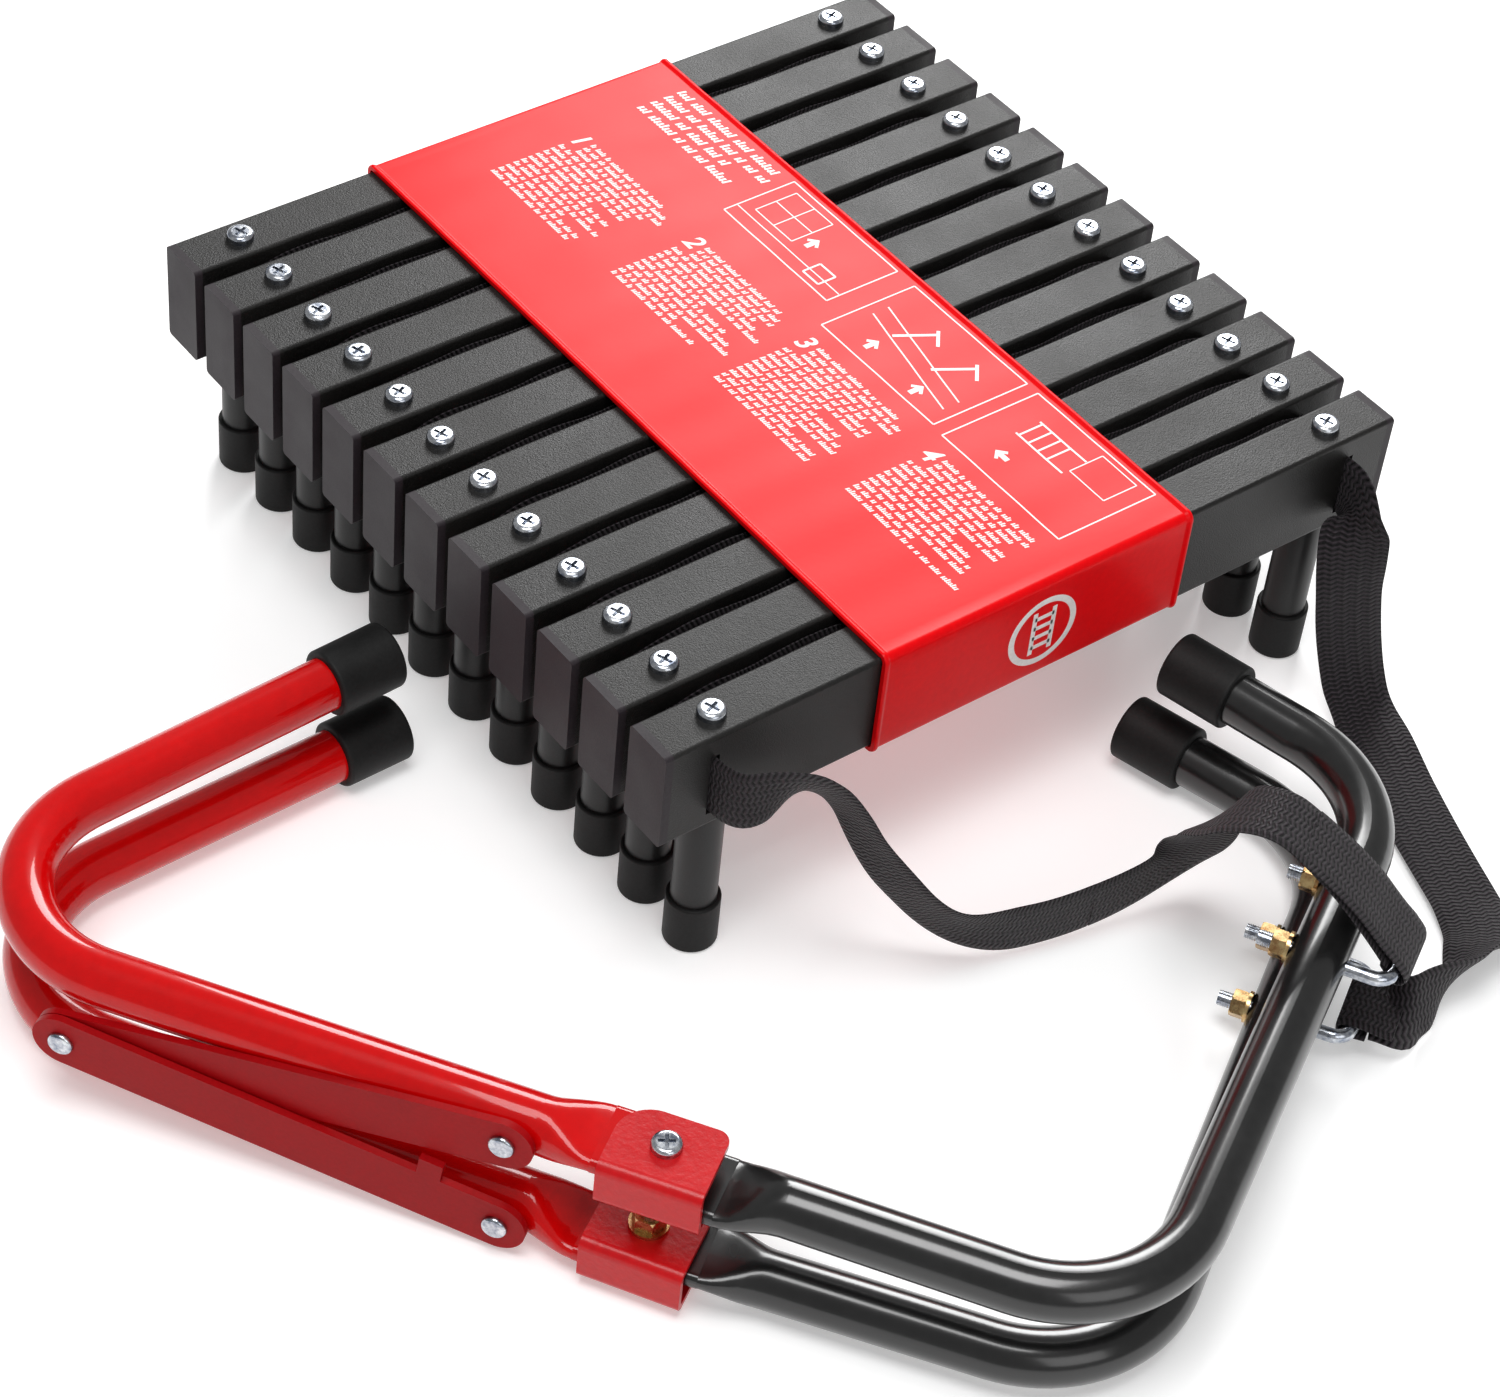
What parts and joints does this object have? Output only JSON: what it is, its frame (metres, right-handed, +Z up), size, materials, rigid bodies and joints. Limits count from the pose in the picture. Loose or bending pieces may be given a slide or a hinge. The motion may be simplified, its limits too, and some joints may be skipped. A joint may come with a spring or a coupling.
{
  "type": "escape rope ladder",
  "caption": "Folding escape ladder: tubular rungs on webbing, held folded in a printed sleeve, with two folding sill hooks and a folding crosspiece.",
  "frame": {"origin": "on the floor under the middle of the bounding box of the folded ladder and its hooks, without the free straps", "axes": "+Z up from the leg caps to the rungs, +Y across the rungs away from the free straps, +X along the rungs towards the end away from the red sill hooks"},
  "size_m": [0.5091, 0.5263, 0.107],
  "materials": {
    "rung_black": "fine textured powder coat, charcoal black",
    "plug_grey": "moulded plastic, matte dark grey",
    "leg_black": "satin black powder coat",
    "cap_rubber": "matte black rubber",
    "bright_zinc": "bright zinc plating",
    "yellow_zinc": "yellow zinc plating",
    "webbing": "woven polyester webbing, charcoal black",
    "sleeve_red": "glossy printed red sleeve",
    "tube_red": "glossy red enamel",
    "tube_black": "glossy black enamel",
    "bracket_red": "satin red powder coat"
  },
  "bodies": {
    "ladder": {"rung_tube_01": "rung_black", "rung_tube_02": "rung_black", "rung_tube_03": "rung_black", "rung_tube_04": "rung_black", "rung_tube_05": "rung_black", "rung_tube_06": "rung_black", "rung_tube_07": "rung_black", "rung_tube_08": "rung_black", "rung_tube_09": "rung_black", "rung_tube_10": "rung_black", "rung_tube_11": "rung_black", "rung_tube_12": "rung_black", "end_plugs_left": "plug_grey", "end_plugs_right": "plug_grey", "standoff_legs_left": "leg_black", "standoff_legs_right": "leg_black", "leg_caps_left": "cap_rubber", "leg_caps_right": "cap_rubber", "rung_screws_left": "bright_zinc", "rung_screws_right": "bright_zinc", "webbing_left": "webbing", "webbing_right": "webbing", "sleeve": "sleeve_red", "lower_red_tube": "tube_red", "lower_red_tip": "cap_rubber", "lower_bracket": "bracket_red", "lower_pivot_screw": "bright_zinc", "lower_pivot_nut": "yellow_zinc", "lower_rivet": "bright_zinc", "rivet_spacer": "bracket_red", "strap_left_near": "webbing", "strap_right": "webbing"},
    "lower_bar": {"lower_crossbar": "bracket_red", "apex_rivet": "bright_zinc"},
    "upper_bar": {"upper_crossbar": "bracket_red"},
    "upper_red_arm": {"upper_red_tube": "tube_red", "upper_red_tip": "cap_rubber", "upper_bracket": "bracket_red", "upper_pivot_screw": "bright_zinc", "upper_pivot_nut": "yellow_zinc", "upper_rivet": "bright_zinc"},
    "upper_black_arm": {"upper_black_tube": "tube_black", "upper_black_tip": "cap_rubber", "upper_u_bolt": "bright_zinc", "upper_bolt_washers": "yellow_zinc", "upper_bolt_nuts": "yellow_zinc"},
    "lower_black_arm": {"lower_black_tube": "tube_black", "lower_black_tip": "cap_rubber", "lower_u_bolt": "bright_zinc", "lower_bolt_washers": "yellow_zinc", "lower_bolt_nuts": "yellow_zinc", "strap_eye_lower": "webbing"},
    "upper_strap_end": {"strap_eye_upper": "webbing", "strap_left_far": "webbing"}
  },
  "joints": [
    {"name": "crosspiece_fold", "type": "hinge", "parent": "ladder", "child": "lower_bar", "pos_m": [-0.15506, -0.09912, 0.012], "axis": [0.8329, 0.5534, 0], "range_deg": [0, 83.01]},
    {"name": "crosspiece_apex", "type": "hinge", "parent": "lower_bar", "child": "upper_bar", "pos_m": [-0.23636, 0.02324, 0.03], "axis": [0.8329, 0.5534, 0], "range_deg": [-166.04, 0]},
    {"name": "upper_hook_level", "type": "hinge", "parent": "upper_bar", "child": "upper_red_arm", "pos_m": [-0.15506, -0.09912, 0.048], "axis": [0.8329, 0.5534, 0], "range_deg": [0, 83.02]},
    {"name": "upper_hook_fold", "type": "hinge", "parent": "upper_red_arm", "child": "upper_black_arm", "pos_m": [-0.1285, -0.1391, 0.048], "axis": [0, 0, 1], "range_deg": [0, 15]},
    {"name": "lower_hook_fold", "type": "hinge", "parent": "ladder", "child": "lower_black_arm", "pos_m": [-0.1318, -0.1384, 0.012], "axis": [0, 0, 1], "range_deg": [0, 15], "deforming": ["strap_right", "strap_left_near", "strap_eye_lower"]},
    {"name": "strap_end_lift", "type": "slide", "parent": "lower_black_arm", "child": "upper_strap_end", "axis": [0, 0, 1], "range_m": [0, 0.2605], "deforming": ["strap_eye_upper", "strap_left_far"]}
  ],
  "couplings": [
    {"joint": "crosspiece_apex", "follows": "crosspiece_fold", "ratio": -2},
    {"joint": "upper_hook_level", "follows": "crosspiece_fold", "ratio": 1},
    {"joint": "strap_end_lift", "follows": "crosspiece_fold", "m_per_rad": 0.17945},
    {"joint": "lower_hook_fold", "follows": "upper_hook_fold", "ratio": 1}
  ]
}
